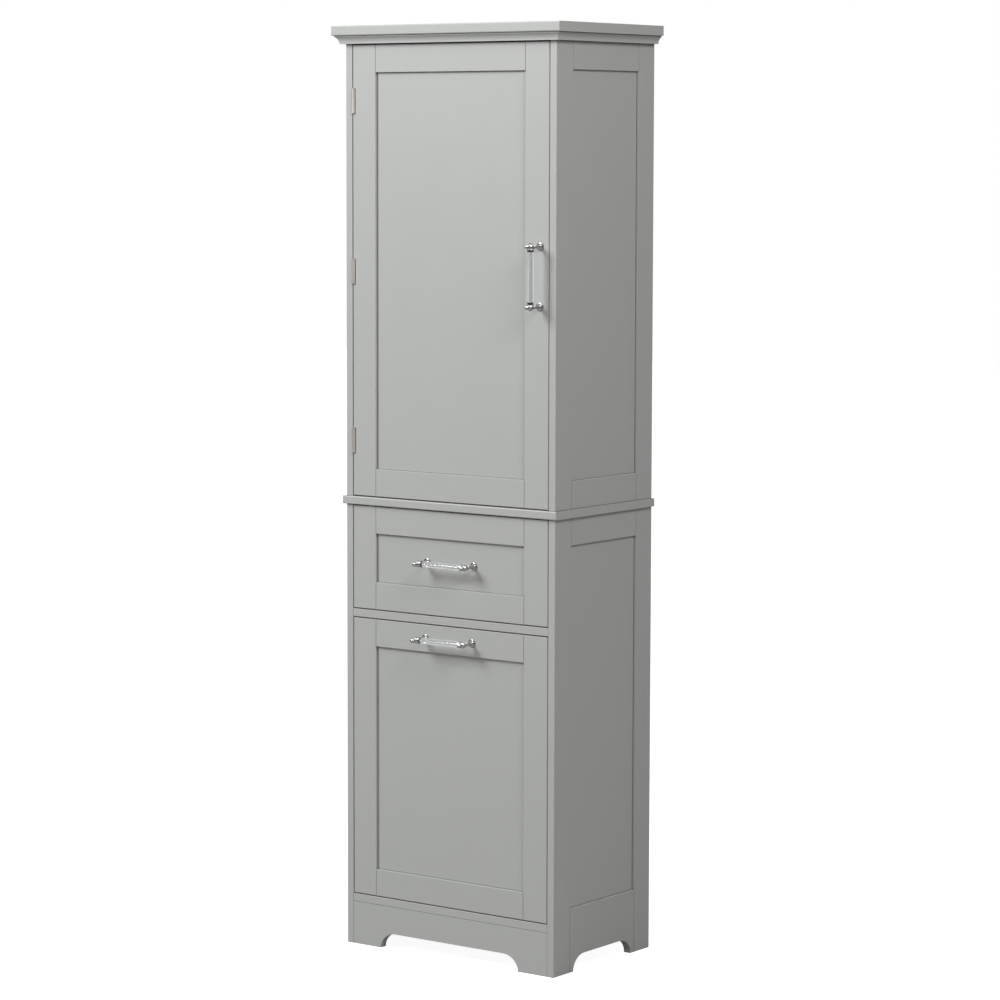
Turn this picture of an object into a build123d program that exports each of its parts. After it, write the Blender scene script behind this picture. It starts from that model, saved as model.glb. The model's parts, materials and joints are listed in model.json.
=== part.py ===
from build123d import *
from math import cos, radians, sin
import os

# Tall linen cabinet: an upper box with a hinged door on a lower box with a drawer and a tilting hamper.
# Millimetres. X across, Y front to back, Z up from the floor. The origin is under the middle of the whole.

# Carcass
carcass_width = 482.0
carcass_depth = 308.0
board_thickness = 15.0
side_thickness = 14.5
plinth_height = 81.0
hamper_opening = 529.5
drawer_opening = 197.5
upper_opening = 841.0
waist_overhang = 6.0
edge_break = 0.6
overcut = 1.0

# Top
top_board_thickness = 18.0
top_overhang = 20.0
top_edge_round = 2.0
crown_height = 15.0
crown_top_reach = 15.5
crown_foot_reach = 9.0
crown_lip = 2.5
crown_cove_depth = 1.6

# Framed fronts and sides
front_thickness = 18.0
front_gap = 2.0
front_stile = 53.0
front_rail = 51.0
front_recess = 5.5
side_stile = 50.5
side_rail = 51.0
side_foot_rail = 119.0
side_recess = 4.8
panel_thickness = 5.0
side_panel_thickness = 4.0
groove_depth = 7.0
groove_play = 0.15

# Arches between the feet
arch_height = 29.5
arch_corner = 34.5
apron_foot = 80.5
side_foot = 61.5

# Back
back_panel_thickness = 3.5
back_rebate = 6.0
back_play = 0.2
wall_rail_height = 60.0
wall_hole_radius = 2.75
wall_hole_spacing = 256.0

# Shelves
shelf_count = 2
shelf_play = 0.3
shelf_setback = 8.0
pin_radius = 2.5
pin_length = 16.0
pin_depth = 8.0
pin_hole_play = 0.05
pin_inset = 28.0

# Door hinges
hinge_end_distance = 105.0
hinge_length = 46.0
hinge_knuckles = 3
hinge_barrel_radius = 3.3
hinge_pin_radius = 1.5
hinge_pin_play = 0.06
hinge_leaf_thickness = 1.2
hinge_leaf_depth = 20.0
hinge_axis_reach = 1.0
hinge_axis_from_side = 3.8
hinge_relief = 0.6
hinge_pin_end = 0.5
knuckle_play = 0.2
leaf_play = 0.4

# Handles
post_spacing = 108.0
bar_reach = 29.0
bar_radius = 5.5
bead_radius = 6.2
bead_length = 11.6
bead_flat = 2.7
finial_radius = 4.4
finial_reach = 43.5
stem_radius = 3.2
foot_radius = 7.5
foot_height = 2.6
door_handle_inset = 19.0

# Drawer box
slide_length = 250.0
slide_height = 35.0
slide_space = 12.7
slide_metal = 1.2
slide_play = 0.3
slide_setback = 2.0
slide_outer_reach = 10.5
slide_middle_reach = 11.2
drawer_side_thickness = 12.0
drawer_side_round = 2.0
drawer_side_height = 120.0
drawer_box_lift = 14.0
drawer_bottom_thickness = 4.0
drawer_bottom_lift = 8.0

# Hamper
hamper_pivot_height = 40.0
hamper_tilt = 35.0
pivot_pin_radius = 3.0
pivot_pin_play = 0.08
pivot_depth = 10.0
stay_radius = 300.0
stay_width = 12.0
stay_metal = 3.0
stay_inset = 2.5
stay_play = 0.5
stay_stop_height = 22.0
stay_stop_angle = 1.4
stay_start_angle = 1.9
guide_wall = 3.0
guide_angle = 3.6
guide_start_angle = 5.0
guide_overcut_angle = 1.0
stay_foot_width = 24.0
stay_foot_height = 34.0
stay_foot_thickness = 2.0
stay_fit = 0.3
hoop_thickness = 2.5
hoop_height = 12.0
bag_frame_height = 402.0
bag_frame_back = 222.0
bag_frame_front = 22.0
bag_frame_inset = 46.0
bag_frame_corner = 26.0
bag_bracket_width = 16.0
bag_cloth = 1.6
bag_hem = 22.0
bag_lift = 16.0
bag_bracket_metal = 2.0
bag_bracket_play = 2.0
hoop_play = 0.3

# Catches
catch_width = 44.0
catch_depth = 15.0
catch_height = 13.0
catch_bevel = 1.5
strike_thickness = 1.2
strike_length = 30.0
strike_height = 20.0
strike_edge = 4.0
catch_gap = 0.3

# Places worked out from the sizes above
half_width = carcass_width / 2
clear_half = half_width - side_thickness
depth_overall = finial_reach + carcass_depth
front = finial_reach - depth_overall / 2
back = front + carcass_depth
bottom_top = plinth_height + board_thickness
divider_low = bottom_top + hamper_opening
divider_top = divider_low + board_thickness
waist_low = divider_top + drawer_opening
waist_top = waist_low + board_thickness
crown_low = waist_top + upper_opening
crown_top = crown_low + crown_height
panel_back = back - back_play
panel_front = panel_back - back_panel_thickness
opening_half = clear_half - front_gap
pivot_z = bottom_top + front_gap + hamper_pivot_height
pivot_y = front + front_thickness / 2

parts = {}


def board(x, y, z):
    """A board between two limits along each axis."""
    size = [limits[1] - limits[0] for limits in (x, y, z)]
    middle = [(limits[0] + limits[1]) / 2 for limits in (x, y, z)]
    return Pos(*middle) * Box(*size)


def mirrored(shape):
    """The same shape on the other side of the cabinet's middle plane."""
    return shape.mirror(Plane.YZ)


def pair(shape):
    """A shape and its twin on the other side."""
    return Compound([shape, mirrored(shape)])


def rod(start, end, radius):
    """A round rod from one point to another."""
    path = Vector(end) - Vector(start)
    plane = Plane(origin=start, z_dir=path)
    return extrude(plane * Circle(radius), path.length)


def eased(piece):
    """The piece with the edges of its front face broken."""
    return chamfer(piece.faces().sort_by(Axis.Y)[0].edges(), edge_break)


def framed(width, height, thickness, stile, rails, recess, panel):
    """Stiles, rails and panel of one frame, its face on Y=0 and its foot on Z=0, centred on X."""
    half = width / 2
    inner = half - stile
    low, high = rails[0], height - rails[1]
    panel_y = (recess, recess + panel)
    groove = board(
        (-inner - groove_depth - groove_play, inner + groove_depth + groove_play),
        (panel_y[0] - groove_play, panel_y[1] + groove_play),
        (low - groove_depth - groove_play, high + groove_depth + groove_play),
    )
    right = eased(board((inner, half), (0, thickness), (0, height))) - groove
    left = eased(board((-half, -inner), (0, thickness), (0, height))) - groove
    bottom = eased(board((-inner, inner), (0, thickness), (0, low))) - groove
    top = eased(board((-inner, inner), (0, thickness), (high, height))) - groove
    sheet = board(
        (-inner - groove_depth, inner + groove_depth),
        panel_y,
        (low - groove_depth, high + groove_depth),
    )
    return {"left": left, "right": right, "bottom": bottom, "top": top, "panel": sheet}


def arch(span, depth):
    """The space under an arched rail: a flat top between two quarter ovals."""
    middle = span / 2 - arch_corner
    outline = Rectangle(2 * middle, 2 * arch_height)
    outline += Pos(middle, 0) * Ellipse(arch_corner, arch_height)
    outline += Pos(-middle, 0) * Ellipse(arch_corner, arch_height)
    return extrude(Plane.XZ * outline, depth, both=True)


def side_frames():
    """The four framed sides: each is built facing forward, then turned to face outward."""
    rebate = board(
        (-clear_half - back_rebate, clear_half + back_rebate),
        (panel_front - back_play, back + overcut),
        (bottom_top - board_thickness, crown_low),
    )
    levels = (
        ("lower", 0, waist_low, (side_foot_rail, side_rail)),
        ("upper", waist_top, upper_opening, (side_rail, side_rail)),
    )
    for level, foot, height, rails in levels:
        pieces = framed(
            carcass_depth,
            height,
            side_thickness,
            side_stile,
            rails,
            side_recess,
            side_panel_thickness,
        )
        if level == "lower":
            pieces["bottom"] -= arch(carcass_depth - 2 * side_foot, side_thickness + overcut)
        place = Pos(half_width, (front + back) / 2, foot) * Rot(0, 0, 90)
        pieces = {name: place * piece for name, piece in pieces.items()}
        stiles = [pieces["left"] - pin_holes(), pieces["right"] - rebate - pin_holes()]
        if level == "lower":
            stiles[0] -= pivot_pin(0)
        for side, turn in (("right", lambda shape: shape), ("left", mirrored)):
            parts[f"{level}_{side}_side_stiles"] = Compound([turn(s) for s in stiles])
            parts[f"{level}_{side}_side_rails"] = Compound(
                [turn(pieces["bottom"]), turn(pieces["top"])]
            )
            parts[f"{level}_{side}_side_panel"] = turn(pieces["panel"])


def shelf_heights():
    """Undersides of the shelves, spread evenly over the upper opening; the lower one is fixed."""
    bay = upper_opening / (shelf_count + 1)
    return [waist_top + bay * (n + 1) - board_thickness / 2 for n in range(shelf_count)]


def pin_places():
    """Depths of the two rows of shelf pins."""
    return (front + pin_inset, back - pin_inset)


def pin_holes():
    """Holes in the right-hand side for the pins of the upper shelf."""
    z = shelf_heights()[-1] - pin_radius
    radius = pin_radius + pin_hole_play
    starts = [(clear_half - overcut, y, z) for y in pin_places()]
    return Compound([rod(start, (clear_half + pin_depth, *start[1:]), radius) for start in starts])


def boards():
    """The flat boards of both boxes."""
    overhang = carcass_width / 2 + waist_overhang
    rear = (front, panel_front - back_play)
    parts["bottom_board"] = eased(
        board((-clear_half, clear_half), rear, (plinth_height, bottom_top))
    )
    parts["divider_board"] = eased(
        board((-clear_half, clear_half), rear, (divider_low, divider_top))
    )
    parts["waist_board"] = fillet(
        board(
            (-overhang, overhang), (front - waist_overhang, back), (waist_low, waist_top)
        )
        .edges()
        .group_by(Axis.Y)[0],
        top_edge_round,
    )
    parts["sub_top_board"] = board(
        (-half_width, half_width), (front, back), (crown_low, crown_top)
    )
    apron = eased(
        board((-clear_half, clear_half), (front, front + board_thickness), (0, plinth_height))
    )
    span = carcass_width - 2 * apron_foot
    parts["front_apron"] = apron - Pos(0, front, 0) * arch(span, board_thickness + overcut)


def backs():
    """Back panels in their rebates, and the rail that takes the wall screws."""
    half = clear_half + back_rebate - back_play
    holes = wall_holes()
    lower = board((-half, half), (panel_front, panel_back), (plinth_height, waist_low))
    upper = board((-half, half), (panel_front, panel_back), (waist_top, crown_low))
    rail = board(
        (-clear_half, clear_half),
        (panel_front - back_play - board_thickness, panel_front - back_play),
        (crown_low - wall_rail_height, crown_low),
    )
    parts["lower_back_panel"] = lower
    parts["upper_back_panel"] = upper - holes
    parts["wall_rail"] = rail - holes


def wall_holes():
    """The two screw holes through the wall rail and the upper back panel."""
    z = crown_low - wall_rail_height / 2
    return Compound(
        [
            rod((x, back - 3 * board_thickness, z), (x, back + overcut, z), wall_hole_radius)
            for x in (-wall_hole_spacing / 2, wall_hole_spacing / 2)
        ]
    )


def crown_profile(plane):
    """Section of the crown: a foot, a shallow cove and a lip; X outward, Y up."""
    start = (crown_foot_reach, 0)
    lip = (crown_top_reach, crown_height - crown_lip)
    middle = (
        (start[0] + lip[0]) / 2 - crown_cove_depth,
        (start[1] + lip[1]) / 2 + crown_cove_depth,
    )
    line = Line((0, 0), start)
    cove = ThreePointArc(start, middle, lip)
    rest = Polyline(lip, (crown_top_reach, crown_height), (0, crown_height), (0, 0))
    return plane * make_face(line + cove + rest)


def crown():
    """The crown moulding, mitred at the two front corners."""
    far = half_width + crown_top_reach
    length = 2 * (far + crown_top_reach)
    side_plane = Plane(origin=(half_width, back, crown_low), x_dir=(1, 0, 0), z_dir=(0, -1, 0))
    side = extrude(crown_profile(side_plane), carcass_depth + crown_top_reach)
    front_plane = Plane(origin=(length / 2, front, crown_low), x_dir=(0, -1, 0), z_dir=(-1, 0, 0))
    run = extrude(crown_profile(front_plane), length)
    reach = crown_top_reach + overcut
    heights = (crown_low - overcut, crown_top + overcut)
    corner = Polyline(
        (half_width, front), (half_width + reach, front - reach), (half_width, front - reach), close=True
    )
    wedge = extrude(Pos(0, 0, heights[0]) * make_face(corner), heights[1] - heights[0])
    middle = board((-half_width, half_width), (front - reach, front), heights)
    parts["crown_front"] = run & (middle + wedge + mirrored(wedge))
    side -= wedge
    parts["crown_side_returns"] = pair(side)


def top_board():
    """The top board, with eased lower and upper edges."""
    half = half_width + top_overhang
    slab = board(
        (-half, half), (front - top_overhang, back), (crown_top, crown_top + top_board_thickness)
    )
    parts["top_board"] = fillet(slab.edges().group_by(Axis.Y)[0], top_edge_round)


def shelves():
    """The fixed lower shelf, and the upper one that lies loose on four pins."""
    fixed, loose = shelf_heights()
    depth = (front + front_thickness + shelf_setback, panel_front - back_play)
    levels = (("shelf_1", fixed, clear_half), ("shelf_2", loose, clear_half - shelf_play))
    for name, low, half in levels:
        parts[name] = eased(board((-half, half), depth, (low, low + board_thickness)))
    pins = []
    end = clear_half + pin_depth
    for y in pin_places():
        z = loose - pin_radius
        pin = rod((end - pin_length, y, z), (end, y, z), pin_radius)
        pins += [pin, mirrored(pin)]
    parts["shelf_pins"] = Compound(pins)


def inset_front(low, high):
    """A framed front that sits inside the carcass, its face flush with it."""
    pieces = framed(
        2 * opening_half,
        high - low,
        front_thickness,
        front_stile,
        (front_rail, front_rail),
        front_recess,
        panel_thickness,
    )
    return {name: Pos(0, front, low) * piece for name, piece in pieces.items()}


def hinge_axis():
    """Where the door turns: X and Y of the hinge pins."""
    return (-clear_half + hinge_axis_from_side, front - hinge_axis_reach)


def knuckle(z_low, z_high, radius):
    """One stretch of the hinge barrel, solid."""
    x, y = hinge_axis()
    return rod((x, y, z_low), (x, y, z_high), radius)


def hinge_heights():
    """Middles of the three hinges: one near each end of the door, one halfway."""
    low, high = waist_top + hinge_end_distance, crown_low - hinge_end_distance
    return (low, (low + high) / 2, high)


def hinge_leaf(height, x_near, own):
    """One leaf of a butt hinge: a plate, and the knuckles that are its own."""
    x, y = hinge_axis()
    pitch = hinge_length / hinge_knuckles
    low = height - hinge_length / 2
    clear = y + hinge_barrel_radius + leaf_play
    leaf_x = (x_near, x_near + hinge_leaf_thickness)
    leaf = board(leaf_x, (clear, clear + hinge_leaf_depth), (low, low + hinge_length))
    for number in own:
        z = (low + number * pitch + knuckle_play / 2, low + (number + 1) * pitch - knuckle_play / 2)
        leaf += board(leaf_x, (y, clear), z)
        leaf += knuckle(*z, hinge_barrel_radius)
    bore = hinge_pin_radius + hinge_pin_play
    return leaf - knuckle(low - overcut, low + hinge_length + overcut, bore)


def door():
    """The upper door with its hinges, pull and strike plate."""
    pieces = inset_front(waist_top + front_gap, crown_low - front_gap)
    x, y = hinge_axis()
    leaf_x = -clear_half + front_gap
    cabinet_leaves, door_leaves, pins = [], [], []
    leaf_end = y + hinge_barrel_radius + leaf_play + hinge_leaf_depth
    for height in hinge_heights():
        low, high = height - hinge_length / 2, height + hinge_length / 2
        pin_z = (low - hinge_pin_end, high + hinge_pin_end)
        pieces["left"] -= knuckle(*pin_z, hinge_barrel_radius + hinge_relief)
        cabinet_leaf = hinge_leaf(height, -clear_half, range(0, hinge_knuckles, 2))
        door_leaf = hinge_leaf(height, leaf_x, range(1, hinge_knuckles, 2))
        mortise_x = (leaf_x - overcut, leaf_x + hinge_leaf_thickness)
        pieces["left"] -= board(mortise_x, (front - overcut, leaf_end), (low, high))
        cabinet_leaves.append(cabinet_leaf)
        door_leaves.append(door_leaf)
        pins.append(rod((x, y, pin_z[0]), (x, y, pin_z[1]), hinge_pin_radius))
    parts["hinge_cabinet_leaves"] = Compound(cabinet_leaves)
    parts["hinge_door_leaves"] = Compound(door_leaves)
    parts["hinge_pins"] = Compound(pins)
    parts["door_stiles"] = Compound([pieces["left"], pieces["right"]])
    parts["door_rails"] = Compound([pieces["bottom"], pieces["top"]])
    parts["door_panel"] = pieces["panel"]
    middle = (waist_top + crown_low) / 2
    handle("door", opening_half - door_handle_inset, middle, True)
    plate_x = (opening_half - strike_length, opening_half - strike_edge)
    plate_z = (middle - strike_height / 2, middle + strike_height / 2)
    behind = front + front_thickness
    parts["door_strike"] = board(plate_x, (behind, behind + strike_thickness), plate_z)
    catch_x = (clear_half - catch_height, clear_half)
    catch_z = (middle - catch_width / 2, middle + catch_width / 2)
    parts["door_catch"] = catch(catch_x, catch_z)


def catch(x, z):
    """A magnetic catch behind a strike plate, its front edges bevelled."""
    near = front + front_thickness + strike_thickness + catch_gap
    body = board(x, (near, near + catch_depth), z)
    return chamfer(body.faces().sort_by(Axis.Y)[0].edges(), catch_bevel)


def post_profile():
    """Half outline of a turned post: foot, stem, bead for the bar, and finial."""
    low, high = bar_reach - bead_length / 2, bar_reach + bead_length / 2
    outline = Polyline(
        (0, 0),
        (foot_radius, 0),
        (foot_radius, foot_height),
        (stem_radius, foot_height),
        (stem_radius, low),
        (bead_radius, low),
        (bead_radius, high),
        (finial_radius, high),
        (finial_radius, finial_reach),
        (0, finial_reach),
        close=True,
    )
    return make_face(outline)


def handle(name, x, z, upright, seat=front):
    """A pull: two turned posts on the seat, and the clear bar held between flats on their beads."""
    post = Rot(90, 0, 0) * revolve(Plane.XZ * post_profile(), Axis.Z)
    flat_y = (-bar_reach - bead_length / 2, -bar_reach + bead_length / 2)
    post -= board((-foot_radius, -bead_flat), flat_y, (-foot_radius, foot_radius))
    end = post_spacing / 2 - bead_flat
    bar = rod((-end, -bar_reach, 0), (end, -bar_reach, 0), bar_radius)
    place = Pos(x, seat, z) * Rot(0, 90 if upright else 0, 0)
    parts[f"{name}_handle_posts"] = place * pair(Pos(post_spacing / 2, 0, 0) * post)
    parts[f"{name}_handle_bar"] = place * bar


def channel(x_plate, x_end, half, y):
    """A slide member: a plate with two flanges that reach to x_end."""
    plate = board(sorted((x_plate, x_plate - slide_metal)), y, (-half, half))
    flanges = board(sorted((x_plate, x_end)), y, (-half, half))
    space_x = sorted((x_plate - slide_metal, x_end - overcut))
    return plate + (flanges - board(space_x, y, (slide_metal - half, half - slide_metal)))


def drawer():
    """Drawer front, box, slides and pull."""
    low, high = divider_top + front_gap, waist_low - front_gap
    pieces = inset_front(low, high)
    parts["drawer_front_stiles"] = Compound([pieces["left"], pieces["right"]])
    parts["drawer_front_rails"] = Compound([pieces["bottom"], pieces["top"]])
    parts["drawer_front_panel"] = pieces["panel"]
    handle("drawer", 0, (low + high) / 2, False, front + front_recess)

    outer_half = clear_half - slide_space
    inner_half = outer_half - drawer_side_thickness
    start = front + front_thickness
    end = start + slide_setback + slide_length
    box_low = low + drawer_box_lift
    box_z = (box_low, box_low + drawer_side_height)
    floor_z = (box_low + drawer_bottom_lift, box_low + drawer_bottom_lift + drawer_bottom_thickness)
    floor_half = inner_half + groove_depth
    floor_end = end - drawer_side_thickness + groove_depth
    bottom = board((-floor_half, floor_half), (start, floor_end), floor_z)
    slot = board(
        (-floor_half - groove_play, floor_half + groove_play),
        (start - overcut, floor_end + groove_play),
        (floor_z[0] - groove_play, floor_z[1] + groove_play),
    )
    side = board((inner_half, outer_half), (start, end), box_z)
    side = chamfer(side.edges().filter_by(Axis.Y).group_by(Axis.Z)[-1], drawer_side_round)
    rear = board((-inner_half, inner_half), (end - drawer_side_thickness, end), box_z)
    parts["drawer_side_right"] = side - slot
    parts["drawer_side_left"] = mirrored(side) - slot
    parts["drawer_back"] = rear - slot
    parts["drawer_bottom"] = bottom

    y = (start + slide_setback, end)
    middle = box_low + drawer_side_height / 2
    step = slide_metal + slide_play
    outer = channel(clear_half, clear_half - slide_outer_reach, slide_height / 2, y)
    centre = channel(clear_half - step, clear_half - slide_middle_reach, slide_height / 2 - step, y)
    plate = outer_half + slide_metal
    inner = channel(plate, clear_half - 2 * step, slide_height / 2 - 2 * step, y)
    for name, shape in (("outer", outer), ("middle", centre), ("inner", inner)):
        parts[f"slide_{name}_members"] = pair(Pos(0, 0, middle) * shape)


def pivot_pin(play):
    """The right-hand pin that the hamper turns on, from the side into the hamper's stile."""
    return rod(
        (clear_half + pivot_depth, pivot_y, pivot_z),
        (opening_half - pivot_depth - play, pivot_y, pivot_z),
        pivot_pin_radius + play,
    )


def polar(radius, angle):
    """A point at an angle back from straight up, in degrees."""
    return (radius * sin(radians(angle)), radius * cos(radians(angle)))


def ring_sector(inner, outer, start, end, x):
    """Part of a flat ring about the hamper's axis, between two angles."""
    middle = (start + end) / 2
    outline = Line(polar(inner, start), polar(outer, start))
    outline += ThreePointArc(polar(outer, start), polar(outer, middle), polar(outer, end))
    outline += Line(polar(outer, end), polar(inner, end))
    outline += ThreePointArc(polar(inner, end), polar(inner, middle), polar(inner, start))
    plane = Plane(origin=(x[0], pivot_y, pivot_z), x_dir=(0, 1, 0), z_dir=(1, 0, 0))
    return extrude(plane * make_face(outline), x[1] - x[0])


def hamper_stays():
    """Quadrant stays on the hamper and the guides on the cabinet that stop them."""
    x = (clear_half - stay_inset - stay_metal, clear_half - stay_inset)
    half = stay_width / 2
    inner, outer = stay_radius - half, stay_radius + half
    guide_end = guide_start_angle + guide_angle
    fit_angle = stay_fit / radians(1) / stay_radius
    stop_start = guide_end + hamper_tilt + fit_angle
    foot_y = pivot_y + front_thickness / 2
    bar = ring_sector(inner, outer, stay_start_angle, stop_start, x)
    stop = ring_sector(
        stay_radius - stay_stop_height / 2,
        stay_radius + stay_stop_height / 2,
        stop_start,
        stop_start + stay_stop_angle,
        x,
    )
    foot_x = (x[1] - stay_foot_width, x[1])
    foot_z = pivot_z + stay_radius - stay_foot_height / 2
    foot = board(foot_x, (foot_y, foot_y + stay_foot_thickness), (foot_z, foot_z + stay_foot_height))
    block = ring_sector(
        inner - stay_play - guide_wall,
        outer + stay_play + guide_wall,
        guide_start_angle,
        guide_end,
        (x[0] - stay_play - guide_wall, clear_half),
    )
    slot = ring_sector(
        inner - stay_play,
        outer + stay_play,
        guide_start_angle - guide_overcut_angle,
        guide_end + guide_overcut_angle,
        (x[0] - stay_play, x[1] + stay_play),
    )
    parts["quadrant_stays"] = pair(bar + stop + foot)
    parts["stay_guides"] = pair(block - slot)


def bag_loop(reach, height):
    """Outline of the bag frame seen from above, grown by reach."""
    half = clear_half - bag_frame_inset + reach
    low = front + front_thickness + bag_frame_front - reach
    high = pivot_y + bag_frame_back + reach
    outline = RectangleRounded(2 * half, high - low, bag_frame_corner + reach)
    return Pos(0, (low + high) / 2, height) * outline


def bag_frame():
    """The bag's steel hoop, and the brackets that carry it on the hamper's top rail."""
    top = pivot_z + bag_frame_height
    foot = top - hoop_height
    ring = extrude(bag_loop(hoop_thickness / 2, foot) - bag_loop(-hoop_thickness / 2, foot), hoop_height)
    behind = front + front_thickness
    hoop_front = behind + bag_frame_front
    start = clear_half - bag_frame_inset - bag_frame_corner - bag_bracket_width
    x = (start, start + bag_bracket_width)
    arm = board(x, (behind, hoop_front), (foot, foot + bag_bracket_metal))
    plate_top = divider_low - front_gap - front_rail / 2
    plate = board(x, (behind, behind + bag_bracket_metal), (foot, plate_top))
    parts["bag_frame"] = ring + arm + plate + mirrored(arm + plate)
    slit_x = (x[0] - bag_bracket_play, x[1] + bag_bracket_play)
    return board(slit_x, (behind, hoop_front), (top - 2 * bag_hem, foot + bag_bracket_metal + hoop_play))


def laundry_bag(slit):
    """The laundry bag: it hangs inside the hoop, and its hem folds over it all round."""
    near = hoop_thickness / 2 + hoop_play
    far = near + bag_cloth
    bottom = bottom_top + bag_lift
    top = pivot_z + bag_frame_height + hoop_play
    body = extrude(bag_loop(-near, bottom) - bag_loop(-far, bottom), top - bottom)
    floor = extrude(bag_loop(-near, bottom), bag_cloth)
    fold_foot = top + bag_cloth - bag_hem
    fold = extrude(bag_loop(far, fold_foot) - bag_loop(near, fold_foot), bag_hem)
    lid = extrude(bag_loop(far, top) - bag_loop(-far, top), bag_cloth)
    parts["laundry_bag"] = body + floor + lid + (fold - slit - mirrored(slit))


def hamper():
    """The tilting hamper: framed front, pivots, stays, bag and pull."""
    low, high = bottom_top + front_gap, divider_low - front_gap
    pieces = inset_front(low, high)
    bore = pivot_pin(pivot_pin_play)
    parts["hamper_front_stiles"] = Compound([pieces["left"] - mirrored(bore), pieces["right"] - bore])
    parts["hamper_front_rails"] = Compound([pieces["bottom"], pieces["top"]])
    parts["hamper_front_panel"] = pieces["panel"]
    parts["hamper_pivot_pins"] = pair(pivot_pin(0))
    handle("hamper", 0, high - front_rail / 2, False)
    hamper_stays()
    laundry_bag(bag_frame())
    behind = front + front_thickness
    strike_z = (high - strike_height, high - strike_edge / 2)
    parts["hamper_strike"] = board(
        (-strike_length / 2, strike_length / 2), (behind, behind + strike_thickness), strike_z
    )
    catch_z = (divider_low - catch_height, divider_low)
    parts["hamper_catch"] = catch((-catch_width / 2, catch_width / 2), catch_z)


side_frames()
boards()
backs()
crown()
top_board()
shelves()
door()
drawer()
hamper()

os.makedirs("parts", exist_ok=True)
for node, shape in parts.items():
    export_step(shape, f"parts/{node}.step")
print(len(parts), "nodes")
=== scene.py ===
import json
from math import atan2, cos, pi, radians, sin

import bpy
from mathutils import Matrix, Vector


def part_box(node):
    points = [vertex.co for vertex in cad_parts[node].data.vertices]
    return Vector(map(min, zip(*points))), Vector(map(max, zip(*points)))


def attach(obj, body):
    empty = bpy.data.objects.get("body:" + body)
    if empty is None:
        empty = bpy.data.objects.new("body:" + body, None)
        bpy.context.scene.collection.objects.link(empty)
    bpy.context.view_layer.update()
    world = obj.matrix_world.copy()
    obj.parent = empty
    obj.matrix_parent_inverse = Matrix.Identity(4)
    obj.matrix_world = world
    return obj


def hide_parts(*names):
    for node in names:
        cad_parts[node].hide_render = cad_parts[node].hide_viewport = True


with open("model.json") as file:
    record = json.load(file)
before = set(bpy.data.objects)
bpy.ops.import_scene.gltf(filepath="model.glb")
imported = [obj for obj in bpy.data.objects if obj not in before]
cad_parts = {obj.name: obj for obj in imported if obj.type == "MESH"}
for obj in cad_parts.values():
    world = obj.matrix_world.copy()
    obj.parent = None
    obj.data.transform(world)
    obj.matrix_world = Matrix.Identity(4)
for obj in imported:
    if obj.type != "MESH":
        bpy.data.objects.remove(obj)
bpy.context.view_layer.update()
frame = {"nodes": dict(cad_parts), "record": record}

# A tall grey linen cabinet: satin paint, chrome and acrylic pulls, and a canvas laundry bag inside.
# Metres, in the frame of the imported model.

# Photograph's camera: its place, its pitch, roll and yaw in degrees, and its lens
camera_place = (3.863, -5.1718, 1.5087)
camera_turn = (90 - 5.51, 0.128, 36.623)
camera_lens = 125.1
camera_film = 36
camera_shift = -0.02
camera_reach = 60

# Studio: floor, and brightness of floor and surround by the kind of ray that sees them
floor_size = 30
floor_drop = 0.0002
floor_colour = (0.42, 0.42, 0.405)
floor_glow = 0.93
floor_shine = 0.12
ambient_level = 0.25
mirror_dark = 0.02
mirror_bright = 1.9

# Paint: the painted shade that ambient occlusion darkens into joints, creases and recesses, and how far
# edges are eased
painted_shade_colour = (0.10, 0.10, 0.095)
painted_shade_reach = 0.0016
painted_shade_onset = 0.55
painted_shade_slope = 2.6
edge_ease = 0.0007


class Wire:
    """A socket of a shader, on which sums are written as Python writes them."""

    def __init__(self, tree, socket):
        self.tree, self.socket = tree, socket

    def maths(self, operation, first, second):
        node = self.tree.nodes.new("ShaderNodeMath")
        node.operation = operation
        for slot, value in zip(node.inputs, (first, second)):
            if isinstance(value, Wire):
                self.tree.links.new(value.socket, slot)
            else:
                slot.default_value = value
        return Wire(self.tree, node.outputs[0])

    def held(self):
        """The value kept between 0 and 1."""
        return self.maths("MINIMUM", self.maths("MAXIMUM", self, 0.0), 1.0)

    def __add__(self, other):
        return self.maths("ADD", self, other)

    def __sub__(self, other):
        return self.maths("SUBTRACT", self, other)

    def __rsub__(self, other):
        return self.maths("SUBTRACT", other, self)

    def __mul__(self, other):
        return self.maths("MULTIPLY", self, other)

    __radd__, __rmul__ = __add__, __mul__


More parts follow.
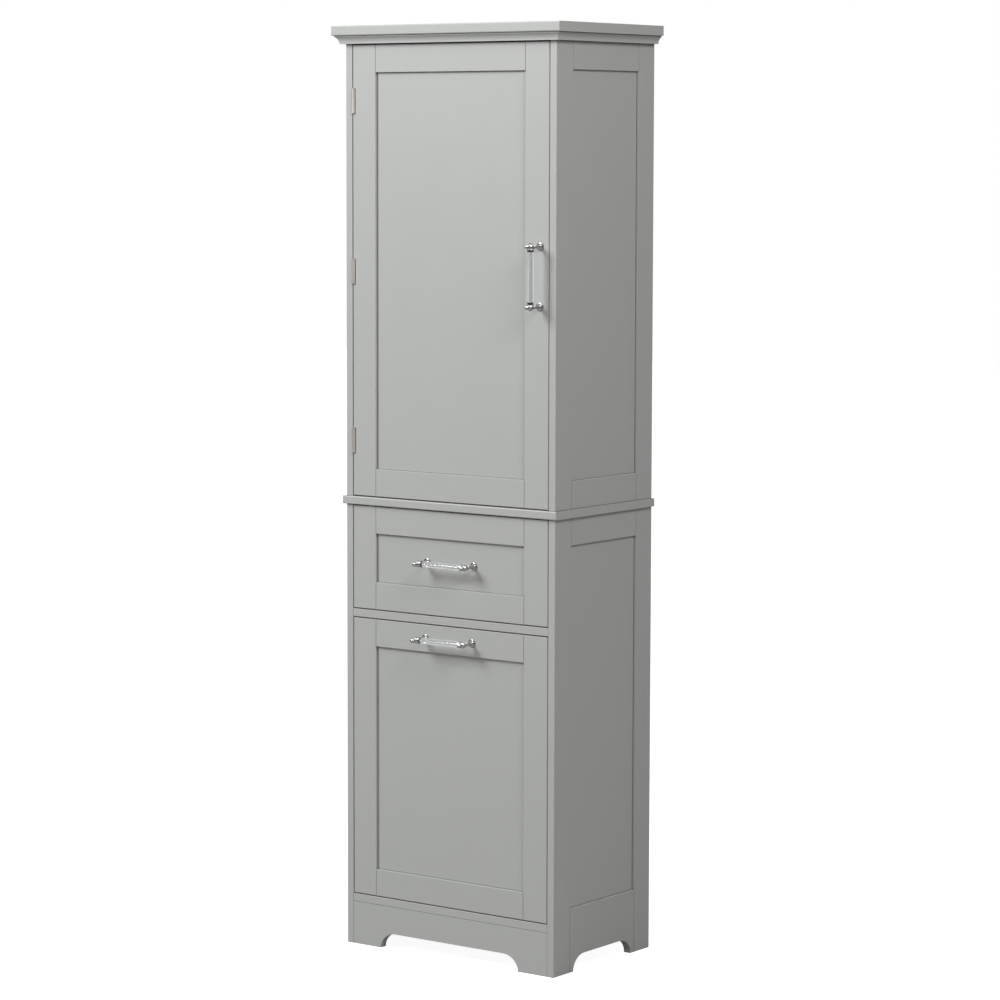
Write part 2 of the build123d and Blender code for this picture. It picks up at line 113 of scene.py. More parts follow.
class Finish:
    """One material: its node tree, and one way to add any node to it."""

    def __init__(self, name, colour, roughness, **constants):
        self.material = bpy.data.materials.new(name)
        self.material.use_nodes = True
        self.tree = self.material.node_tree
        self.shader = self.tree.nodes["Principled BSDF"]
        self.shader.inputs["Base Color"].default_value = (*colour, 1)
        self.shader.inputs["Roughness"].default_value = roughness
        for socket, value in constants.items():
            self.shader.inputs[socket.replace("_", " ")].default_value = value

    def node(self, kind, settings=(), sockets=(), out=0):
        node = self.tree.nodes.new(kind)
        for key, value in dict(settings).items():
            setattr(node, key, value)
        for key, value in dict(sockets).items():
            if isinstance(value, Wire):
                self.tree.links.new(value.socket, node.inputs[key])
            else:
                node.inputs[key].default_value = value
        return Wire(self.tree, node.outputs[out])

    def feed(self, socket, wire):
        self.tree.links.new(wire.socket, self.shader.inputs[socket])

    def place(self, scale=(1, 1, 1)):
        """Object coordinates, stretched by scale."""
        spot = self.node("ShaderNodeTexCoord", out="Object")
        return self.node("ShaderNodeMapping", sockets={"Vector": spot, "Scale": scale})

    def noise(self, scale, detail=3, stretch=(1, 1, 1), roughness=0.5):
        return self.node(
            "ShaderNodeTexNoise",
            sockets={
                "Vector": self.place(stretch),
                "Scale": scale,
                "Detail": detail,
                "Roughness": roughness,
            },
        )

    def blend(self, amount, first, second):
        """A colour between two, each a wire or a plain colour, by a wire from 0 to 1."""
        colours = [colour if isinstance(colour, Wire) else (*colour, 1) for colour in (first, second)]
        return self.node(
            "ShaderNodeMix", {"data_type": "RGBA"}, {0: amount, 6: colours[0], 7: colours[1]}, out=2
        )

    def tint(self, dark, light, amount):
        """Base colour between two colours, by a wire from 0 to 1."""
        self.feed("Base Color", self.blend(amount, dark, light))

    def bump(self, height, distance, strength=1.0, under=None):
        sockets = {"Height": height, "Distance": distance, "Strength": strength}
        if under:
            sockets["Normal"] = under
        wire = self.node("ShaderNodeBump", sockets=sockets)
        self.feed("Normal", wire)
        return wire


def paint_finish():
    """Satin lacquer on board: orange peel, slightly uneven tone and gloss, and painted shade darkening
    its joints, creases and recesses.
    """
    paint = Finish("grey_paint", (0.43, 0.44, 0.43), 0.42)
    coat = paint.blend(paint.noise(2.2, 4), (0.420, 0.429, 0.419), (0.440, 0.448, 0.438))
    # Painted shade: ambient occlusion darkens the base colour towards near-black in V-grooves, gaps and
    # inner corners, where shade falls
    shade_occlusion = paint.node("ShaderNodeAmbientOcclusion", {"samples": 6}, {"Distance": painted_shade_reach}, out="AO")
    paint.feed("Base Color", paint.blend(((shade_occlusion - painted_shade_onset) * painted_shade_slope).held(), painted_shade_colour, coat))
    paint.feed("Roughness", 0.36 + paint.noise(14, 3) * 0.12)
    eased = paint.node("ShaderNodeBevel", {"samples": 4}, {"Radius": edge_ease})
    peel = paint.noise(420, 2) + paint.noise(1300, 2) * 0.35
    paint.bump(peel, 0.00006, 0.55, eased)
    return paint.material


def board_finish(name, dark, light, roughness):
    """Thin foil over board, with a faint pressed grain along Z."""
    foil = Finish(name, light, roughness)
    grain = foil.noise(90, 6, (1, 1, 0.06), 0.6)
    foil.tint(dark, light, grain)
    foil.feed("Roughness", roughness + grain * 0.1)
    foil.bump(grain, 0.00008, 0.4)
    return foil.material


def steel_finish(name, dark, light, roughness):
    """Plated steel: fine drawn lines and dull patches."""
    steel = Finish(name, light, roughness, Metallic=1.0)
    lines = steel.noise(900, 3, (1, 0.05, 1))
    patches = steel.noise(60, 4)
    steel.tint(dark, light, patches)
    steel.feed("Roughness", roughness + lines * 0.12 + patches * 0.08)
    steel.bump(lines, 0.00002, 0.5)
    return steel.material


def chrome_finish():
    """Polished chrome with faint fingerprints in its gloss."""
    chrome = Finish("chrome_plate", (0.42, 0.426, 0.424), 0.04, Metallic=1.0)
    haze = chrome.noise(160, 4)
    chrome.tint((0.40, 0.406, 0.405), (0.45, 0.456, 0.455), haze)
    chrome.feed("Roughness", 0.03 + haze * 0.06)
    return chrome.material


def clear_finish():
    """Clear acrylic, faintly milky in its depth."""
    clear = Finish("clear_acrylic", (0.97, 0.98, 0.98), 0.02, Transmission_Weight=0.96, IOR=1.49)
    clear.feed("Roughness", 0.035 + clear.noise(40, 2) * 0.03)
    return clear.material


def canvas_finish():
    """Plain woven canvas: a fine over-and-under weave with slubs, laid along the cloth."""
    canvas = Finish("canvas", (0.62, 0.60, 0.55), 0.85, Sheen_Weight=0.25)
    cloth_map = canvas.node("ShaderNodeTexCoord", out="UV")
    warp = canvas.node(
        "ShaderNodeTexWave",
        {"wave_type": "BANDS", "bands_direction": "X", "wave_profile": "SIN"},
        {"Vector": cloth_map, "Scale": 220, "Distortion": 0.4},
        out="Fac",
    )
    weft = canvas.node(
        "ShaderNodeTexWave",
        {"wave_type": "BANDS", "bands_direction": "Y", "wave_profile": "SIN"},
        {"Vector": cloth_map, "Scale": 220, "Distortion": 0.4},
        out="Fac",
    )
    slub = canvas.noise(70, 5)
    weave = warp * 0.5 + weft * 0.5
    canvas.tint((0.46, 0.44, 0.39), (0.72, 0.70, 0.65), weave * 0.5 + slub * 0.5)
    canvas.bump(weave + slub * 0.6, 0.0005, 0.8)
    return canvas.material


def plastic_finish():
    """Moulded plastic with a fine spark-eroded grain."""
    plastic = Finish("moulded_plastic", (0.62, 0.62, 0.60), 0.5)
    grain = plastic.noise(1500, 2)
    plastic.tint((0.57, 0.57, 0.55), (0.66, 0.66, 0.64), plastic.noise(40, 3))
    plastic.feed("Roughness", 0.42 + grain * 0.15)
    plastic.bump(grain, 0.00004, 0.6)
    return plastic.material


finishes = {
    "paint": paint_finish(),
    "back_panel": board_finish("back_board", (0.36, 0.37, 0.355), (0.42, 0.43, 0.415), 0.5),
    "drawer_box": board_finish("drawer_foil", (0.40, 0.41, 0.395), (0.45, 0.46, 0.44), 0.45),
    "zinc_steel": steel_finish("zinc_plate", (0.50, 0.51, 0.52), (0.66, 0.67, 0.68), 0.28),
    "hinge_metal": steel_finish("hinge_nickel", (0.68, 0.66, 0.60), (0.82, 0.80, 0.74), 0.30),
    "chrome": chrome_finish(),
    "clear_bar": clear_finish(),
    "bag_fabric": canvas_finish(),
    "dark_plastic": plastic_finish(),
}


def dress_frame():
    """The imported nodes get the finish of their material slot."""
    for row in frame["record"]["subparts"]:
        node = frame["nodes"][row["node"]]
        node.data.materials.clear()
        node.data.materials.append(finishes[row["material_slot"]])


def deselect():
    """Nothing is selected, so that an operator acts on one piece alone."""
    bpy.ops.object.select_all(action="DESELECT")


def pick(piece):
    """The piece alone is selected and active."""
    deselect()
    piece.select_set(True)
    bpy.context.view_layer.objects.active = piece


def closed_up(piece):
    """Doubles merged and faces turned outward."""
    pick(piece)
    bpy.ops.object.mode_set(mode="EDIT")
    bpy.ops.mesh.select_all(action="SELECT")
    bpy.ops.mesh.remove_doubles(threshold=1e-6)
    bpy.ops.mesh.normals_make_consistent(inside=False)
    bpy.ops.object.mode_set(mode="OBJECT")


def turned(profile, sides=40):
    """A piece turned on Z: a disc is extruded from ring to ring of its profile of (height, radius)."""
    deselect()
    height, radius = profile[0]
    bpy.ops.mesh.primitive_circle_add(
        vertices=sides, radius=radius, fill_type="NGON", location=(0, 0, height)
    )
    piece = bpy.context.object
    bpy.ops.object.transform_apply(location=True)
    bpy.ops.object.mode_set(mode="EDIT")
    bpy.ops.mesh.select_all(action="SELECT")
    for (low, old), (high, new) in zip(profile, profile[1:]):
        bpy.ops.mesh.extrude_region_move(TRANSFORM_OT_translate={"value": (0, 0, high - low)})
        bpy.ops.transform.resize(value=(new / old, new / old, 1))
    bpy.ops.object.mode_set(mode="OBJECT")
    closed_up(piece)
    return piece


def arc(centre, radius, start, end, steps):
    """Rings of a ball on the axis, from one angle to another; 0 is its front pole, 180 its back."""
    angles = [radians(start + (end - start) * n / steps) for n in range(steps + 1)]
    return [(centre + radius * cos(a), max(radius * sin(a), 0.00005)) for a in angles]


def placed(piece, place, direction):
    """The piece's Z axis turned to a direction and its origin moved to a place, both in its mesh."""
    turn = Vector((0, 0, 1)).rotation_difference(Vector(direction)).to_matrix().to_4x4()
    piece.data.transform(Matrix.Translation(place) @ turn)
    return piece


def copied(piece):
    """A copy with its own mesh."""
    twin = piece.copy()
    twin.data = piece.data.copy()
    bpy.context.collection.objects.link(twin)
    return twin


def joined(pieces):
    """Several pieces as one object."""
    deselect()
    for piece in pieces:
        piece.select_set(True)
    bpy.context.view_layer.objects.active = pieces[0]
    bpy.ops.object.join()
    return bpy.context.object


def settle(piece, name, body, slot, *replaced, smooth=35):
    """The finished piece is named, shaded, given its finish, and rides on its body."""
    piece.name = piece.data.name = name
    pick(piece)
    bpy.ops.object.transform_apply(location=True, rotation=True, scale=True)
    bpy.ops.object.shade_smooth_by_angle(angle=radians(smooth))
    piece.data.materials.clear()
    piece.data.materials.append(finishes[slot])
    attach(piece, body)
    if replaced:
        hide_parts(*replaced)
    return piece


def modified(piece, kind, **settings):
    """A modifier added with its settings and applied."""
    pick(piece)
    modifier = piece.modifiers.new(kind.title(), kind)
    for key, value in settings.items():
        setattr(modifier, key, value)
    bpy.ops.object.modifier_apply(modifier=modifier.name)
    return piece


# Pulls
bead_radius = 0.0062
finial_radius = 0.0045
post_foot_radius = 0.0075
bead_height = 0.029
finial_height = 0.039
collar_end = 0.0092
core_radius = 0.0013
core_seat = 0.001
bar_ease = 0.0004
bar_ring = 0.0020


def pull_post():
    """A turned chrome post: flared foot, ringed stem, bead for the bar, and ball finial."""
    profile = [
        (0, post_foot_radius),
        (0.0012, post_foot_radius),
        (0.0017, 0.0073),
        (0.0020, 0.0068),
        (0.0021, 0.0060),
        (0.0027, 0.0059),
        (0.0040, 0.0048),
        (0.0058, 0.0039),
        (0.0080, 0.0034),
        (0.0110, 0.0031),
        (0.0150, 0.0030),
        (0.0180, 0.0031),
        (0.0186, 0.0040),
        (0.0192, 0.0043),
        (0.0200, 0.0043),
        (0.0206, 0.0040),
        (0.0212, 0.0031),
    ]
    profile += arc(bead_height, bead_radius, 152, 26, 14)
    profile += [(0.0351, 0.0023), (0.0353, 0.0030), (0.0357, 0.0031), (0.0359, 0.0024)]
    profile += arc(finial_height, finial_radius, 142, 0, 12)
    return turned(profile)


def pull_collar():
    """The ringed collar that holds an end of the bar, its open end towards -Z."""
    profile = [
        (-collar_end, 0.0050),
        (-collar_end, 0.0059),
        (-0.0089, 0.0062),
        (-0.0078, 0.0062),
        (-0.0074, 0.0058),
        (-0.0069, 0.0058),
        (-0.0065, 0.0062),
        (-0.0056, 0.0062),
        (-0.0050, 0.0056),
        (-0.0030, 0.0042),
        (0.0000, 0.0040),
        (0.0058, 0.0034),
        (0.0064, 0.0024),
        (0.0066, 0.0010),
    ]
    return turned(profile)


def pull(front):
    """A front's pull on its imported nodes' places: two posts with collars, clear bar and core rod."""
    bar_low, bar_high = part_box(f"{front}_handle_bar")
    post_low, post_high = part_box(f"{front}_handle_posts")
    centre = (bar_low + bar_high) / 2
    upright = bar_high.z - bar_low.z > bar_high.x - bar_low.x
    along = Vector((0, 0, 1)) if upright else Vector((1, 0, 0))
    half = (post_high - post_low).dot(along) / 2 - post_foot_radius
    seat = Vector((centre.x, post_high.y, centre.z))
    metal = []
    for side in (along, -along):
        metal.append(placed(pull_post(), seat + side * half, (0, -1, 0)))
        metal.append(placed(pull_collar(), centre + side * half, side))
    settle(joined(metal), f"{front}_pull_posts", front, "chrome", f"{front}_handle_posts")
    radius = (bar_high.y - bar_low.y) / 2
    reach = half - collar_end
    ends = [(-reach, radius - bar_ease), (-reach + bar_ease, radius), (-reach + bar_ring, radius)]
    rod = turned(ends + [(-height, ring) for height, ring in reversed(ends)], 64)
    settle(placed(rod, centre, along), f"{front}_pull_bar", front, "clear_bar", f"{front}_handle_bar")
    core = turned([(-reach - core_seat, core_radius), (reach + core_seat, core_radius)], 24)
    settle(placed(core, centre, along), f"{front}_pull_core", front, "chrome")


# Screws and covers: radius and height of each kind of head
pull_screw = (0.0042, 0.0020)
plate_screw = (0.0024, 0.0008)
hinge_screw = (0.0031, 0.0003)
cam_cover = (0.0085, 0.0009)

# Where they sit on hinges, strikes, stays, brackets, catches and boards
hinge_half = 0.0235
hinge_screw_step = 0.0155
hinge_screw_insets = (0.007, 0.0105)
fixed_leaf_face, door_leaf_face = 0.0012, 0.0020
strike_screws = (0.004, 0.014)
plate_metal = 0.002
stay_foot_above_pivot = 0.303
stay_screw_inset, stay_screw_step = 0.018, 0.011
bracket_screw_drops = (0.007, 0.019)
catch_screw_step = 0.016
screw_edge = 0.005
cam_inset = 0.034
cam_rows = (-0.075, 0.120)

# Nails of the back panels
nail_profile = [(0, 0.0026), (0.0001, 0.0027), (0.00016, 0.0022), (0.00018, 0.0006)]
nail_spacing = 0.11
nail_end = 0.006
nail_inset = 0.003
board_nails = (0.055, 0.165)


def cross_recess(head, radius, depth):
    """A cross cut into the head from its top, by two crossed bars."""
    top = max(vertex.co.z for vertex in head.data.vertices)
    for turn in (0, 90):
        deselect()
        bpy.ops.mesh.primitive_cube_add(size=1, location=(0, 0, top))
        bar = bpy.context.object
        bar.scale = (radius * 1.15, radius * 0.26, 2 * depth)
        bar.rotation_euler = (0, 0, radians(turn))
        pick(bar)
        bpy.ops.object.transform_apply(location=True, rotation=True, scale=True)
        modified(head, "BOOLEAN", object=bar, operation="DIFFERENCE", solver="EXACT")
        bpy.data.objects.remove(bar)
    return head


def screw_head(radius, height):
    """A screw head with a cross recess, its underside at Z=0."""
    profile = [
        (0, radius * 0.94),
        (height * 0.25, radius),
        (height * 0.55, radius * 0.97),
        (height * 0.85, radius * 0.80),
        (height, radius * 0.45),
    ]
    return cross_recess(turned(profile, 20), radius, height * 0.6)


def cap(radius, height):
    """A round plastic cover pressed over a cam lock, with a dished middle."""
    profile = [
        (0, radius),
        (height * 0.6, radius),
        (height, radius * 0.90),
        (height, radius * 0.70),
        (height * 0.7, radius * 0.62),
        (height * 0.62, radius * 0.2),
    ]
    return turned(profile, 28)


def spread(master, spots, name, body, slot):
    """Copies of a small master at many (place, direction) spots, as one piece."""
    twins = [placed(copied(master), place, direction) for place, direction in spots]
    settle(joined(twins), name, body, slot)


# Laundry bag
cloth = 0.0012
hem_depth = 0.0205
hem_section = ((0.0009, hem_depth), (0.0003, 0.0155), (0, 0.0100), (0, 0.0050))
rim_section = ((0.85, 0.0012), (0.4, 0), (-0.4, 0), (-0.85, 0.0012))
hoop_half = 0.00315
wall_reach = 0.00235
hoop_corner = 0.026
wall_taper = 0.006
base_round = 0.008
base_lift = 0.0005
base_rise = 0.0085
base_height = 0.0006
base_crease = 0.0016
base_spans = (0.93, 0.84, 0.72, 0.58, 0.42, 0.26, 0.12, 0.04)
base_corner_growth = 0.022
wall_top_drop = 0.004
wall_ends_left = 0.012
rim_play = 0.0002
bag_sides = 128
wall_rings = 38

# Folds: waves round the bag, each with its count, phase, lean and size
fold_depth = 0.0062
fold_offset = 1.9
fold_end = 0.95
fold_swell, fold_fullness = 1.05, 0.8
fold_waves = ((5, 0.9, 0.4, 1.0), (9, 2.3, -1.1, 0.7), (14, 0.2, 1.7, 0.55), (23, 4.1, -2.2, 0.28))
seam_places = (0.135, 0.635)
seam_half = 0.006
seam_depth = 0.0009

# The hoop's line, and the rim and foot of the bag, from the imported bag
bag_low, bag_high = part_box("laundry_bag")
hoop_x, hoop_y = (bag_low.x + bag_high.x) / 2, (bag_low.y + bag_high.y) / 2
hoop_half_x = (bag_high.x - bag_low.x) / 2 - hoop_half
hoop_half_y = (bag_high.y - bag_low.y) / 2 - hoop_half
bag_around = 4 * (hoop_half_x + hoop_half_y)

# From where to where across the bag its hem is slit round each bracket, and how deep
hoop_wall_half = 0.00125
bracket_inset = 0.018
slit_width = 0.020
slit_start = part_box("bag_frame")[1].x - hoop_wall_half - hoop_corner - bracket_inset
slit_end = slit_start + slit_width
slit_top, slit_foot = 0.009, 0.03
slit_reach = 0.0025

# Stitches: their size and spacing, and each row's drop below the rim and reach outside the hoop's line
stitch_size = (0.0034, 0.0007, 0.0005)
stitch_bevel = 0.00022
stitch_spacing = 0.0052
stitch_rows = ((0.0172, 0.0033), (0.0193, 0.0036))
stitch_gap = 0.003
stitch_ahead = 0.002


def loop_point(turn, half_x, half_y, corner):
    """A point of a rounded rectangle: turn runs from 0 to 1 round it, evenly along its length."""
    straight_x, straight_y, bend = half_x - corner, half_y - corner, corner * pi / 2
    runs = (2 * straight_y, bend, 2 * straight_x, bend) * 2
    left = (turn % 1) * sum(runs)
    starts = (
        ((half_x, -straight_y), (0, 1)),
        ((straight_x, straight_y), 0),
        ((straight_x, half_y), (-1, 0)),
        ((-straight_x, straight_y), 90),
        ((-half_x, straight_y), (0, -1)),
        ((-straight_x, -straight_y), 180),
        ((-straight_x, -half_y), (1, 0)),
        ((straight_x, -straight_y), 270),
    )
    for run, ((x, y), way) in zip(runs, starts):
        if left <= run or (x, y) == starts[-1][0]:
            break
        left -= run
    if isinstance(way, tuple):
        return x + way[0] * left, y + way[1] * left
    angle = radians(way) + left / corner
    return x + corner * cos(angle), y + corner * sin(angle)


def smooth_step(value):
    """From 0 to 1, slow at both ends."""
    value = min(max(value, 0), 1)
    return value * value * (3 - 2 * value)


def bag_rings():
    """Section of the bag from the hem, over the hoop and down to the middle of its base.

    Each ring has its reach outside the hoop's line, its height, how far down the wall it lies, and how
    much of the base it still spans.
    """
    foot = bag_low.z
    rim = bag_high.z - cloth / 2 - rim_play
    rings = [(wall_reach + extra, rim - drop, 0, 1) for extra, drop in hem_section]
    rings += [(wall_reach * share, rim - drop, 0, 1) for share, drop in rim_section]
    depth = rim - foot - cloth
    for n in range(1, wall_rings + 1):
        down = n / wall_rings
        reach = -wall_reach - wall_taper * smooth_step(down)
        rings.append((reach, rim - wall_top_drop - (depth - wall_ends_left) * down, down, 1))
    for n in range(1, 5):
        angle = n / 4 * pi / 2
        reach = -wall_reach - wall_taper - base_round * (1 - cos(angle))
        rings.append((reach, foot + base_lift + base_rise * (1 - sin(angle)), 1, 1))
    for share in base_spans:
        rings.append((-wall_reach - wall_taper - base_round, foot + base_height, 1, share))
    return rings


def bag_point(turn, ring):
    """Where the cloth lies: soft folds hang from the hoop and fade at the slightly creased base."""
    half_x, half_y = hoop_half_x, hoop_half_y
    reach, height, down, share = ring
    corner = hoop_corner + reach + base_corner_growth * smooth_step(down)
    x, y = loop_point(turn, half_x + reach, half_y + reach, corner)
    folds = sum(
        size * sin(2 * pi * count * turn + phase + lean * down)
        for count, phase, lean, size in fold_waves
    )
    rise = sin(pi * min(down * fold_swell, 1)) if 0 < down < fold_end else 0
    swell = fold_depth * rise**fold_fullness
    at_seam = min(abs(turn - place) for place in seam_places) < seam_half and 0 < down < 1
    outward = swell * (folds - fold_offset) + (seam_depth if at_seam else 0)
    length = max((x * x + y * y) ** 0.5, 1e-6)
    x, y = x * (1 + outward / length), y * (1 + outward / length)
    across, along = x / half_x, y / half_y
    ripple = (1 + sin(11 * across + 5 * along)) * (1 + sin(7 * along - 3 * across)) / 2
    crease = base_crease * (1 - share) * ripple
    return Vector((hoop_x + x * share, hoop_y + y * share, height + (crease if share < 1 else 0)))


def unwrap(piece, rings):
    """A UV map in metres along the cloth: round the bag, and down its section."""
    down = [0.0]
    for (reach, height, _, share), (far, low, _, left) in zip(rings, rings[1:]):
        down.append(down[-1] + abs(far - reach) + abs(low - height) + abs(left - share) * hoop_half_x)
    layer = piece.data.uv_layers.new(name="cloth")
    for face in piece.data.polygons:
        spots = [piece.data.vertices[corner].co for corner in face.vertices]
        turns = [(atan2(spot.y, spot.x) / (2 * pi)) % 1 for spot in spots]
        wraps = max(turns) - min(turns) > 0.5
        for loop, turn, spot in zip(face.loop_indices, turns, spots):
            turn += 1 if wraps and turn < 0.5 else 0
            layer.data[loop].uv = (turn * bag_around, down[round(spot.z)])


def laundry_bag():
    """The canvas bag: a tube extruded ring by ring, laid over the hoop, and closed by its base."""
    rings = bag_rings()
    deselect()
    bpy.ops.mesh.primitive_circle_add(vertices=bag_sides, radius=1, location=(0, 0, 0))
    bag = bpy.context.object
    bpy.ops.object.mode_set(mode="EDIT")
    bpy.ops.mesh.select_all(action="SELECT")
    for _ in rings[1:]:
        bpy.ops.mesh.extrude_region_move(TRANSFORM_OT_translate={"value": (0, 0, 1)})
    bpy.ops.mesh.edge_face_add()
    bpy.ops.object.mode_set(mode="OBJECT")
    unwrap(bag, rings)
    for vertex in bag.data.vertices:
        turn = (atan2(vertex.co.y, vertex.co.x) / (2 * pi)) % 1
        vertex.co = bag_point(turn, rings[round(vertex.co.z)])
    cut_slits(bag)
    bag.data.validate()
    pick(bag)
    bpy.ops.object.mode_set(mode="EDIT")
    bpy.ops.mesh.select_all(action="SELECT")
    bpy.ops.mesh.normals_make_consistent(inside=False)
    bpy.ops.object.mode_set(mode="OBJECT")
    modified(bag, "SUBSURF", levels=1, render_levels=1)
    modified(bag, "SOLIDIFY", thickness=cloth, offset=0)
    settle(bag, "laundry_bag_cloth", "hamper", "bag_fabric", "laundry_bag", smooth=60)


def cut_slits(bag):
    """The hem's faces in front of the two brackets are taken out, up to the bracket's arm."""
    front, rim = bag_low.y, bag_high.z
    pick(bag)
    bpy.ops.object.mode_set(mode="EDIT")
    bpy.ops.mesh.select_all(action="DESELECT")
    bpy.ops.object.mode_set(mode="OBJECT")
    for face in bag.data.polygons:
        spots = [bag.data.vertices[corner].co for corner in face.vertices]
        across = [abs(spot.x) for spot in spots]
        outside = all(spot.y < front + slit_reach for spot in spots)
        low = all(rim - slit_foot < spot.z < rim - slit_top for spot in spots)
        face.select = outside and low and max(across) > slit_start and min(across) < slit_end
    bpy.ops.object.mode_set(mode="EDIT")
    bpy.ops.mesh.delete(type="FACE")
    bpy.ops.object.mode_set(mode="OBJECT")


def stitch():
    """One stitch of thread: a short bar with rounded ends, its underside at Z=0."""
    deselect()
    bpy.ops.mesh.primitive_cube_add(size=1, location=(0, 0, stitch_size[2] / 2))
    thread = bpy.context.object
    thread.scale = stitch_size
    pick(thread)
    bpy.ops.object.transform_apply(location=True, scale=True)
    modified(thread, "BEVEL", width=stitch_bevel, segments=1)
    return thread


def bag_stitches():
    """Two rows of stitches round the hem."""
    count = int(bag_around / stitch_spacing)
    master = stitch()
    up = Vector((0, 0, 1))
    twins = []
    for drop, reach in stitch_rows:
        size = (hoop_half_x + reach, hoop_half_y + reach, hoop_corner + reach)
        for n in range(count):
            here = Vector((*loop_point(n / count, *size), 0))
            there = Vector((*loop_point(n / count + stitch_ahead, *size), 0))
            if here.y < 0 and slit_start - stitch_gap < abs(here.x) < slit_end + stitch_gap:
                continue
            along = (there - here).normalized()
            lie = Matrix((along, up, along.cross(up))).transposed().to_4x4()
            lie.translation = here + Vector((hoop_x, hoop_y, bag_high.z - drop))
            twin = copied(master)
            twin.data.transform(lie)
            twins.append(twin)
    bpy.data.objects.remove(master)
    settle(joined(twins), "bag_hem_stitches", "hamper", "bag_fabric")


def both_sides(spots):
    """The spots, and their mirror images across the cabinet."""
    mirror = Vector((-1, 1, 1))
    return spots + [(Vector(place) * mirror, Vector(way) * mirror) for place, way in spots]


def hinge_screws():
    """Three flat screws in each leaf of the door's hinges, the middle one set farther back."""
    low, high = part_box("hinge_pins")
    leaf_low, leaf_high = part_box("hinge_cabinet_leaves")
    ends = (low.z + hinge_half, high.z - hinge_half)
    heads = screw_head(*hinge_screw)
    places = [
        (leaf_high.y - hinge_screw_insets[abs(step)], height + hinge_screw_step * step)
        for height in (ends[0], sum(ends) / 2, ends[1])
        for step in (-1, 0, 1)
    ]
    fixed = [((leaf_low.x + fixed_leaf_face, y, z), (1, 0, 0)) for y, z in places]
    swinging = [((leaf_low.x + door_leaf_face, y, z), (-1, 0, 0)) for y, z in places]
    spread(heads, fixed, "hinge_screws_on_side", "cabinet", "hinge_metal")
    spread(heads, swinging, "hinge_screws_on_door", "door", "hinge_metal")
    bpy.data.objects.remove(heads)


def front_screws():
    """Screws that hold the pulls, and those of strike plates, stay feet, bag brackets and catches."""
    washer = screw_head(*pull_screw)
    small = screw_head(*plate_screw)
    for front, board in (
        ("door", "door_stiles"),
        ("drawer", "drawer_front_panel"),
        ("hamper", "hamper_front_stiles"),
    ):
        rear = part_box(board)[1].y
        low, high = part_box(f"{front}_handle_posts")
        middle = (low + high) / 2
        half = (high - low) / 2 - Vector((post_foot_radius, 0, post_foot_radius))
        ends = [Vector((middle.x + side * half.x, rear, middle.z + side * half.z)) for side in (-1, 1)]
        spread(washer, [(end, (0, 1, 0)) for end in ends], f"{front}_pull_screws", front, "zinc_steel")
    low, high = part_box("door_strike")
    middle_z = (low.z + high.z) / 2
    spots = [((low.x + inset, high.y, middle_z), (0, 1, 0)) for inset in strike_screws]
    spread(small, spots, "door_strike_screws", "door", "zinc_steel")
    low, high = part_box("hamper_strike")
    spots = both_sides([((high.x - screw_edge, high.y, low.z + strike_screws[0]), (0, 1, 0))])
    foot_low, foot_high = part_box("quadrant_stays")
    foot_y = foot_low.y + plate_metal
    foot_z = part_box("hamper_pivot_pins")[0].z + stay_foot_above_pivot
    for step in (-stay_screw_step, stay_screw_step):
        spots += both_sides([((foot_high.x - stay_screw_inset, foot_y, foot_z + step), (0, 1, 0))])
    frame_low, frame_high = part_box("bag_frame")
    bracket_x = (slit_start + slit_end) / 2
    for drop in bracket_screw_drops:
        spots += both_sides([((bracket_x, frame_low.y + plate_metal, frame_high.z - drop), (0, 1, 0))])
    spread(small, spots, "hamper_screws", "hamper", "zinc_steel")
    low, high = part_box("door_catch")
    middle_z = (low.z + high.z) / 2
    steps = (-catch_screw_step, catch_screw_step)
    spots = [((low.x, high.y - screw_edge, middle_z + step), (-1, 0, 0)) for step in steps]
    low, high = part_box("hamper_catch")
    spots += both_sides([((catch_screw_step, high.y - screw_edge, low.z), (0, 0, -1))])
    spread(small, spots, "catch_screws", "cabinet", "zinc_steel")
    for master in (washer, small):
        bpy.data.objects.remove(master)


def cam_covers():
    """Covers over the cam locks, under the ends of the fixed boards."""
    cover = cap(*cam_cover)
    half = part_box("divider_board")[1].x - cam_inset
    spots = []
    for node in ("bottom_board", "divider_board", "waist_board", "shelf_1", "sub_top_board"):
        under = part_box(node)[0].z
        spots += [((half, y, under), (0, 0, -1)) for y in cam_rows]
    spread(cover, both_sides(spots), "cam_covers", "cabinet", "dark_plastic")
    bpy.data.objects.remove(cover)


def panel_nails():
    """Flat nails round the back panels, and along the boards that cross them."""
    nail = turned(nail_profile, 16)
    spots = []
    crossing = {"lower_back_panel": ("bottom_board", "divider_board"), "upper_back_panel": ("shelf_1",)}
    for panel, boards in crossing.items():
        low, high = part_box(panel)
        count = round((high.z - low.z) / nail_spacing)
        for n in range(count + 1):
            z = low.z + nail_end + (high.z - low.z - 2 * nail_end) * n / count
            spots.append(((high.x - nail_inset, high.y, z), (0, 1, 0)))
        for node in boards:
            z = sum(corner.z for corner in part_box(node)) / 2
            spots += [((x, high.y, z), (0, 1, 0)) for x in board_nails]
    spread(nail, both_sides(spots), "back_panel_nails", "cabinet", "zinc_steel")
    bpy.data.objects.remove(nail)


def fasteners():
    """All the small metal and plastic pieces that hold the others."""
    hinge_screws()
    front_screws()
    cam_covers()
    panel_nails()


def camera():
    """The photograph's viewpoint."""
    data = bpy.data.cameras.new("camera")
    data.sensor_width = camera_film
    data.lens = camera_lens
    data.shift_y = camera_shift
    data.clip_end = camera_reach
    view = bpy.data.objects.new("camera", data)
    bpy.context.collection.objects.link(view)
    pitch, roll, yaw = camera_turn
    view.location = camera_place
    view.rotation_euler = (radians(pitch), 0, radians(yaw))
    view.rotation_euler.rotate_axis("Z", radians(roll))
    bpy.context.scene.camera = view


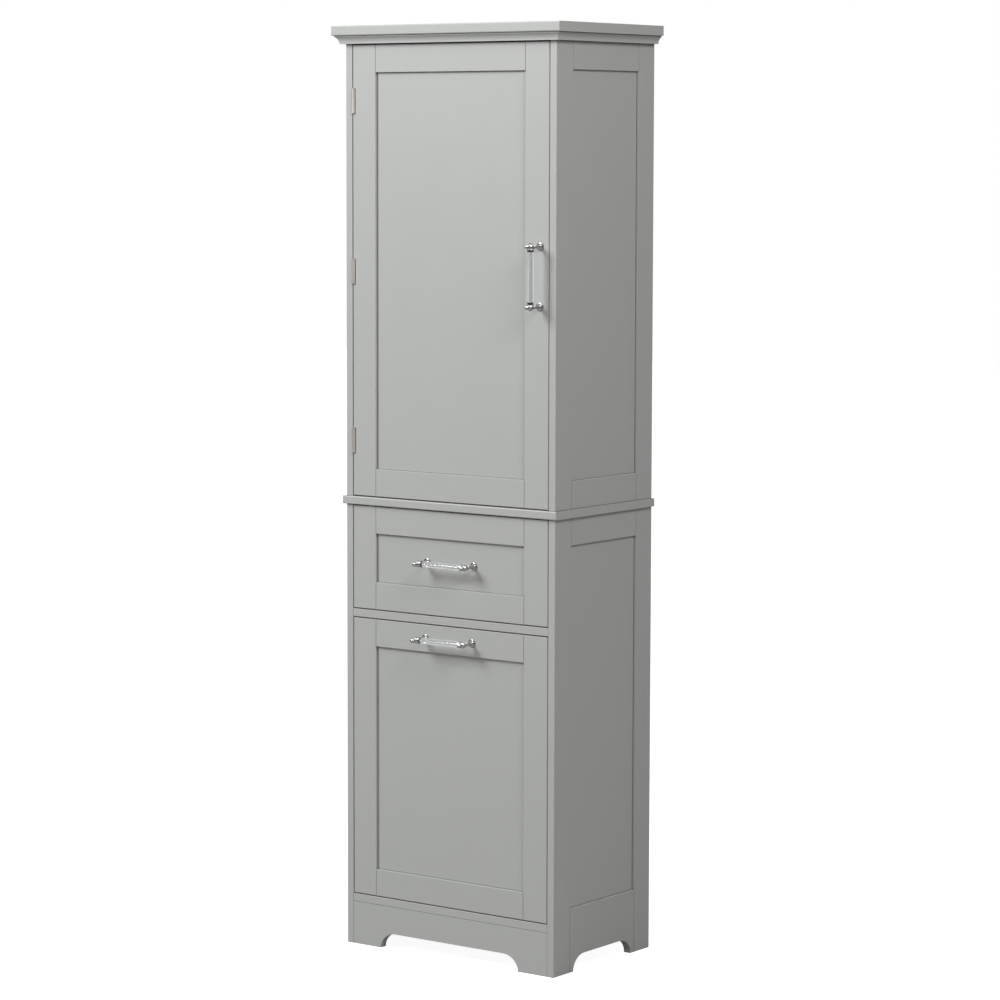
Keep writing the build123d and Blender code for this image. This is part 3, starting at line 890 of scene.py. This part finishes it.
def lamp(name, place, target, size, power, colour):
    """A soft square panel lamp that faces the target."""
    data = bpy.data.lights.new(name, "AREA")
    data.shape = "SQUARE"
    data.size, data.energy, data.color = size, power, colour
    panel = bpy.data.objects.new(name, data)
    bpy.context.collection.objects.link(panel)
    panel.location = place
    panel.rotation_euler = (Vector(target) - Vector(place)).to_track_quat("-Z", "Y").to_euler()


def stage():
    """A white studio: floor with the cabinet's soft shadow, lamps, and a white surround."""
    bpy.ops.mesh.primitive_plane_add(size=floor_size, location=(0, 0, -floor_drop))
    floor = bpy.context.object
    floor.name = "floor"
    white = Finish("studio_floor", floor_colour, 0.9)
    seen = white.node("ShaderNodeLightPath", out="Is Camera Ray")
    through = white.node("ShaderNodeLightPath", out="Is Transmission Ray")
    mirrored = white.node("ShaderNodeLightPath", out="Is Glossy Ray")
    level = seen.maths("MAXIMUM", seen, through) * floor_glow + mirrored * (1 - seen) * floor_shine
    glow = white.node("ShaderNodeEmission", sockets={"Strength": level})
    lit = Wire(white.tree, white.shader.outputs[0])
    both = white.node("ShaderNodeAddShader", sockets={0: lit, 1: glow})
    white.tree.links.new(both.socket, white.tree.nodes["Material Output"].inputs["Surface"])
    floor.data.materials.append(white.material)

    world = bpy.data.worlds.new("studio")
    bpy.context.scene.world = world
    world.use_nodes = True
    tree = world.node_tree
    rays = tree.nodes.new("ShaderNodeLightPath")
    spot = tree.nodes.new("ShaderNodeTexCoord")
    split = tree.nodes.new("ShaderNodeSeparateXYZ")
    tree.links.new(spot.outputs["Generated"], split.inputs[0])
    up = Wire(tree, split.outputs["Z"])
    seen = Wire(tree, rays.outputs["Is Camera Ray"])
    clear = Wire(tree, rays.outputs["Is Transmission Ray"])
    mirrored = Wire(tree, rays.outputs["Is Glossy Ray"])
    white = seen.maths("MAXIMUM", seen, clear)
    overhead = (up * 4.0 - 1.2).held()
    plain = (1 - mirrored) * ambient_level
    strength = white + (1 - white) * (plain + mirrored * (mirror_dark + overhead * mirror_bright))
    tree.links.new(strength.socket, tree.nodes["Background"].inputs["Strength"])
    tree.nodes["Background"].inputs["Color"].default_value = (1, 1, 1, 1)

    lamp("key", (-1.7, -3.0, 3.2), (0, 0, 1.4), size=1.6, power=131, colour=(0.985, 0.995, 1.0))
    lamp("fill", (2.5, -1.3, 3.0), (0, 0, 1.3), size=1.2, power=52, colour=(1.0, 0.985, 0.95))


bpy.context.scene.view_settings.view_transform = "Standard"
camera()
dress_frame()
for front in ("door", "drawer", "hamper"):
    pull(front)
laundry_bag()
bag_stitches()
fasteners()
stage()
